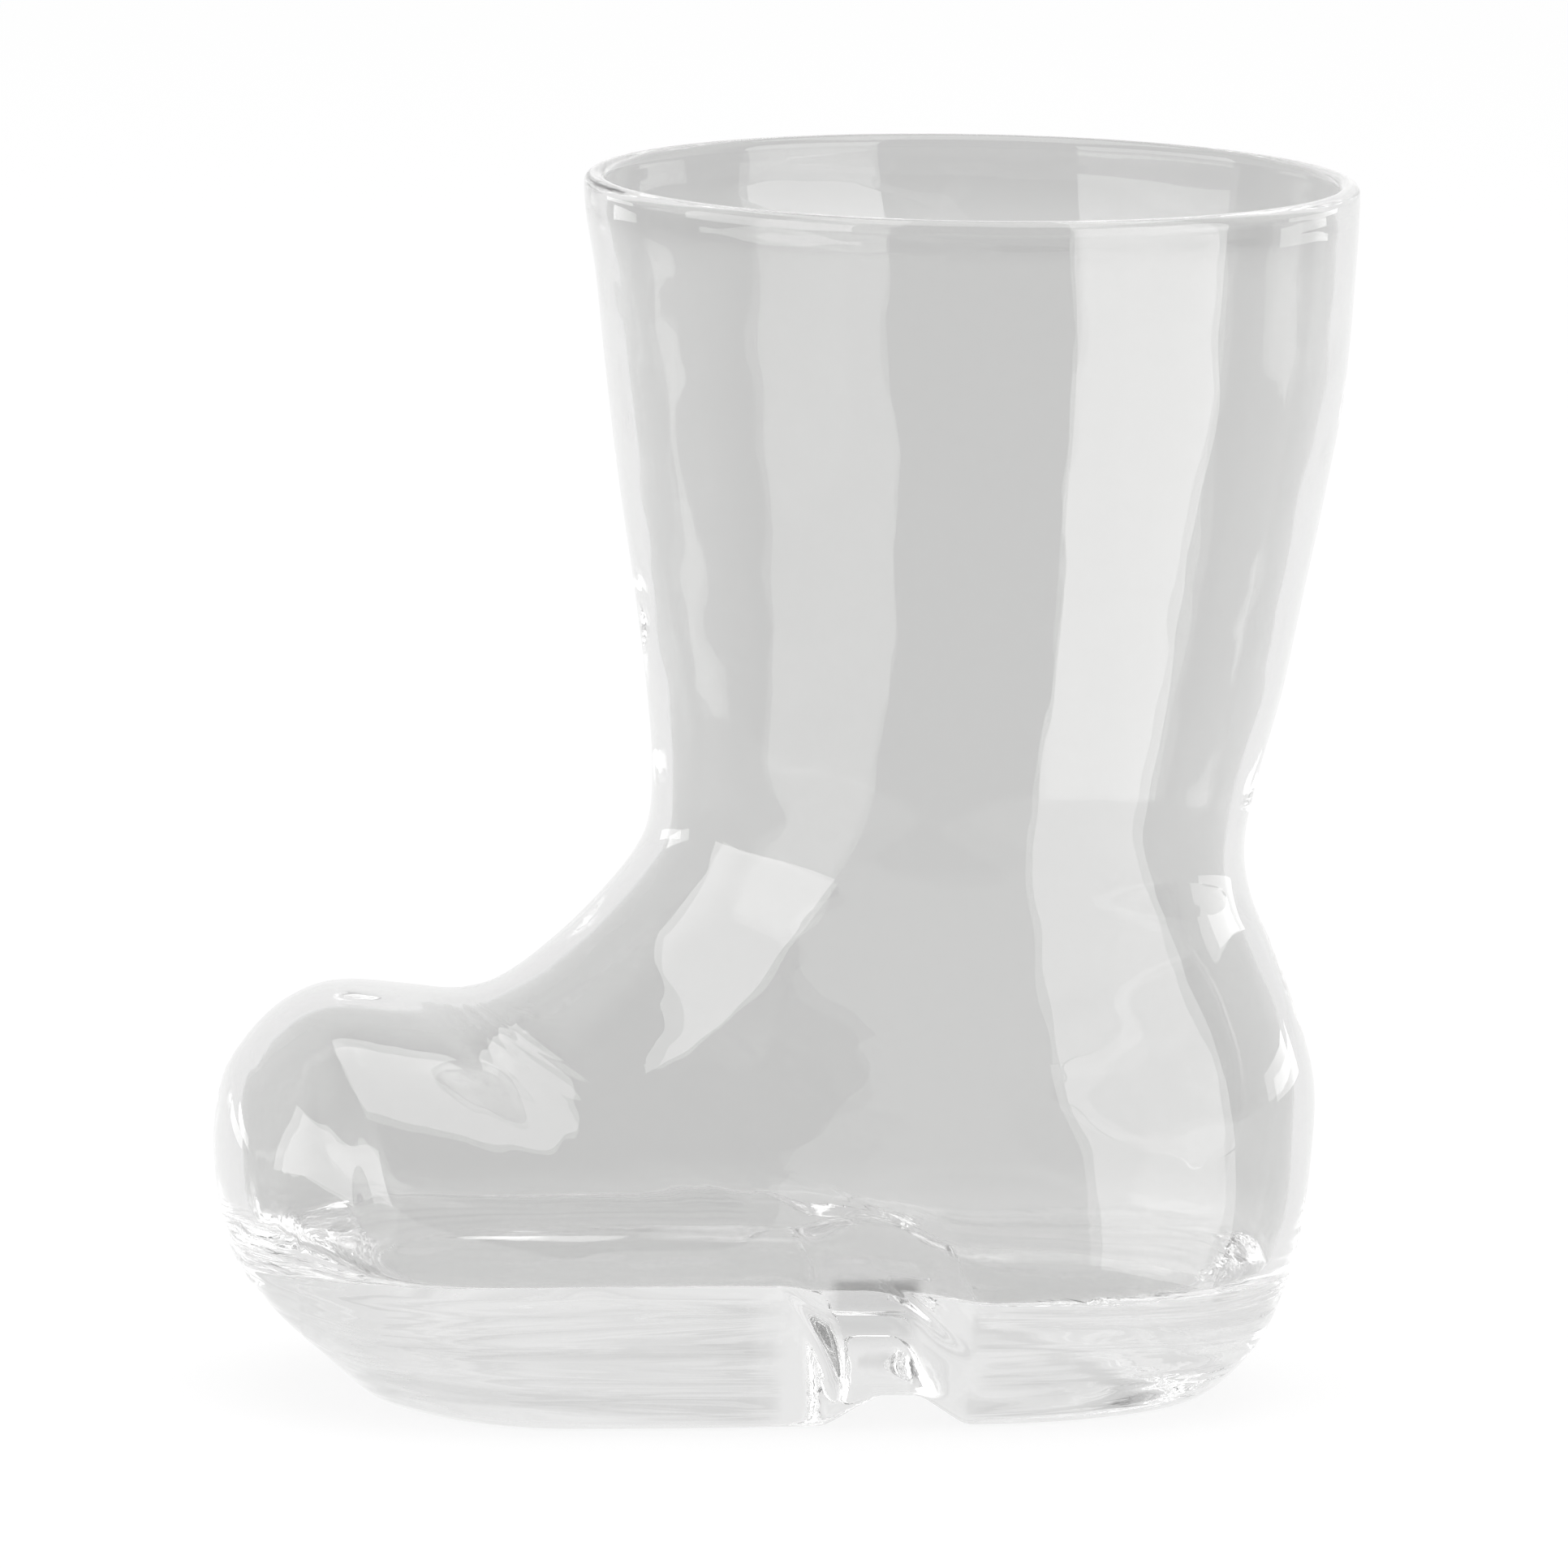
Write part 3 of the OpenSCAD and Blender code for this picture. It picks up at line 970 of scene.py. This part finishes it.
@dataclass
class Studio:
    """The light of the scene: a white room, greyer in front and above, and soft lamps.

    The ramps are spans of a direction's Y and Z parts: the room is grey at the start of each span and
    white at its end.
    """

    room_light: float = 0.88
    front_tone: float = 0.4
    front_ramp: Span = (-0.25, 0.15)
    ceiling_ramp: Span = (0.95, 0.70)
    lamps: list[SoftLamp] = field(default_factory=lambda: [
        SoftLamp(LampPlace.TOE_FRONT, -64.0, 1.2, 1.39, -0.1, 0.8, 2.3),
        SoftLamp(LampPlace.HEEL_FRONT, 54.5, 1.2, 1.12, -0.1, 0.9, 2.3),
        SoftLamp(LampPlace.TOE_BACK, -128.0, 1.5, 0.53, -0.1, 0.12, 1.5),
        SoftLamp(LampPlace.HEEL_BACK, 121.0, 1.5, 0.8, -0.1, 0.12, 1.5),
        SoftLamp(LampPlace.OVERHEAD, 0.0, 0.0, 1.3, 0.0, 1.3, 1.9),
    ])

    def _wall_tone(self, tree: Tree) -> Socket:
        """Add nodes that give the tone of the room by direction.

        Args:
            tree: The world's node tree.

        Returns:
            A socket that is 1 for the eye and the white back of the room, and lower for its front
            and ceiling.
        """
        nodes, links = tree.nodes, tree.links
        parts = nodes.new("ShaderNodeSeparateXYZ")
        links.new(nodes.new("ShaderNodeTexCoord").outputs["Generated"], parts.inputs[0])
        back = ease(tree, parts.outputs["Y"], self.front_ramp)
        low = ease(tree, parts.outputs["Z"], self.ceiling_ramp)
        eye = nodes.new("ShaderNodeLightPath").outputs["Is Camera Ray"]
        tone = nodes.new("ShaderNodeMapRange")
        tone.inputs["To Min"].default_value = self.front_tone
        white = joined(tree, "MAXIMUM", joined(tree, "MULTIPLY", back, low), eye)
        links.new(white, tone.inputs["Value"])
        return tone.outputs["Result"]

    def build(self, view_turn: float) -> None:
        """Build the room and its lamps.

        Args:
            view_turn: The azimuth of the camera in degrees, from straight in front of the glass.
        """
        world = bpy.data.worlds.new("white_room")
        bpy.context.scene.world = world
        world.use_nodes = True
        nodes, links = world.node_tree.nodes, world.node_tree.links
        nodes.clear()
        out = nodes.new("ShaderNodeOutputWorld")
        choice = nodes.new("ShaderNodeMixShader")
        lights = []
        for socket in (1, 2):
            light = nodes.new("ShaderNodeBackground")
            light.inputs["Color"].default_value = (1.0, 1.0, 1.0, 1.0)
            links.new(light.outputs[0], choice.inputs[socket])
            lights.append(light)
        lights[0].inputs["Strength"].default_value = self.room_light
        links.new(self._wall_tone(world.node_tree), lights[1].inputs["Strength"])
        links.new(seen_rays(world.node_tree), choice.inputs[0])
        links.new(choice.outputs[0], out.inputs["Surface"])
        for lamp in self.lamps:
            lamp.build(view_turn)


@dataclass(frozen=True)
class PhotoCamera:
    """The camera at the photograph's place: far off, a little above the rim, turned to the toe."""

    aim: tuple[float, float, float] = (0.00019, 0.0, 0.07013)
    distance: float = 1.5
    height: float = 0.3135
    turn: float = -4.5
    roll: float = 0.9
    focal_pixels: float = 16416.0
    frame_pixels: float = 1932.0
    sensor: float = 36.0

    def build(self) -> bpy.types.Object:
        """Build the camera, make it the scene's own and return it."""
        data = bpy.data.cameras.new("photo_camera")
        data.sensor_width = self.sensor
        data.lens = self.sensor * self.focal_pixels / self.frame_pixels
        data.clip_start, data.clip_end = 0.05, 60.0
        made = bpy.data.objects.new("photo_camera", data)
        angle = math.radians(self.turn)
        eye = Vector((
            self.aim[0] + self.distance * math.sin(angle), -self.distance * math.cos(angle),
            self.height,
        ))
        look = (Vector(self.aim) - eye).normalized()
        level = look.cross(Vector((0.0, 0.0, 1.0))).normalized()
        turned = Matrix.Rotation(math.radians(-self.roll), 3, look)
        right, up = turned @ level, turned @ level.cross(look)
        made.matrix_world = Matrix.Translation(eye) @ Matrix((right, up, -look)).transposed().to_4x4()
        bpy.context.scene.collection.objects.link(made)
        bpy.context.scene.camera = made
        return made


def set_colour_and_paths() -> None:
    """Set the plain view transform and let light pass the many walls of the glass."""
    scene = bpy.context.scene
    scene.view_settings.view_transform = "Standard"
    scene.cycles.max_bounces = LIGHT_BOUNCES
    scene.cycles.transmission_bounces = LIGHT_BOUNCES
    scene.cycles.glossy_bounces = LIGHT_BOUNCES


def main() -> None:
    """Build the glass, the table, the light and the camera."""
    logging.basicConfig(level=logging.INFO, format="%(name)s: %(message)s")
    set_colour_and_paths()
    boot = GlassBoot()
    wall = boot.build()
    boot.dress(wall)
    log.info("%s: %d faces", wall.name, len(wall.data.polygons))
    table = PaleTable()
    log.info("%s: %.1f m across", table.build().name, 2 * table.radius)
    camera = PhotoCamera()
    view = camera.build()
    log.info("%s: lens %.1f mm", view.name, view.data.lens)
    card = LightCard().build(camera.turn)
    log.info("%s: %d faces", card.name, len(card.data.polygons))
    studio = Studio()
    studio.build(camera.turn)
    log.info("white_room: %d soft lamps", len(studio.lamps))


if __name__ == "__main__":
    main()
